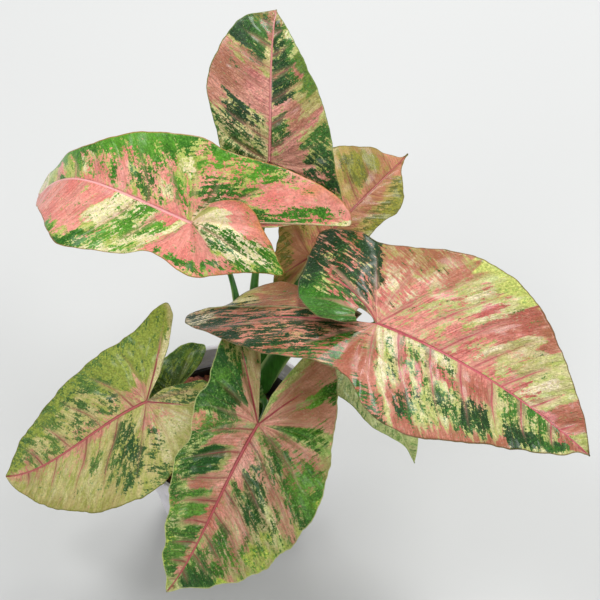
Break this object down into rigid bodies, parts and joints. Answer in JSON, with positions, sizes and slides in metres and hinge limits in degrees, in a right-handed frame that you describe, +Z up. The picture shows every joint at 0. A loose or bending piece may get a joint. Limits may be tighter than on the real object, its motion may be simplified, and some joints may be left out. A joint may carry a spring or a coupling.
{
  "type": "potted arrowhead plant",
  "caption": "Young arrowhead plant with pink and green mottled, lobed leaf blades on sheathed stalks, rooted in a black nursery pot that stands in a clear cup with a ringed rim.",
  "frame": {"origin": "centre of the clear cup's flat underside, on the surface that the plant stands on", "axes": "+Z up; +Y towards the back, where the tallest leaf blade points; +X to the right, towards the largest blade"},
  "size_m": [0.2769, 0.2324, 0.2169],
  "materials": {
    "clear_plastic": "gloss",
    "black_plastic": "satin",
    "potting_mix": "matte",
    "petiole": "satin",
    "pink_blade": "satin",
    "lime_blade": "satin"
  },
  "bodies": {
    "root": {"clear_cup": "clear_plastic", "nursery_pot": "black_plastic", "soil_with_bark": "potting_mix", "stem_with_petioles": "petiole", "blade_back_tall": "pink_blade", "blade_left_high": "pink_blade", "blade_right_large": "pink_blade", "blade_front": "pink_blade", "blade_left_low": "lime_blade", "blade_back_low": "lime_blade", "blade_right_small": "lime_blade", "blade_left_small": "lime_blade"}
  },
  "joints": []
}
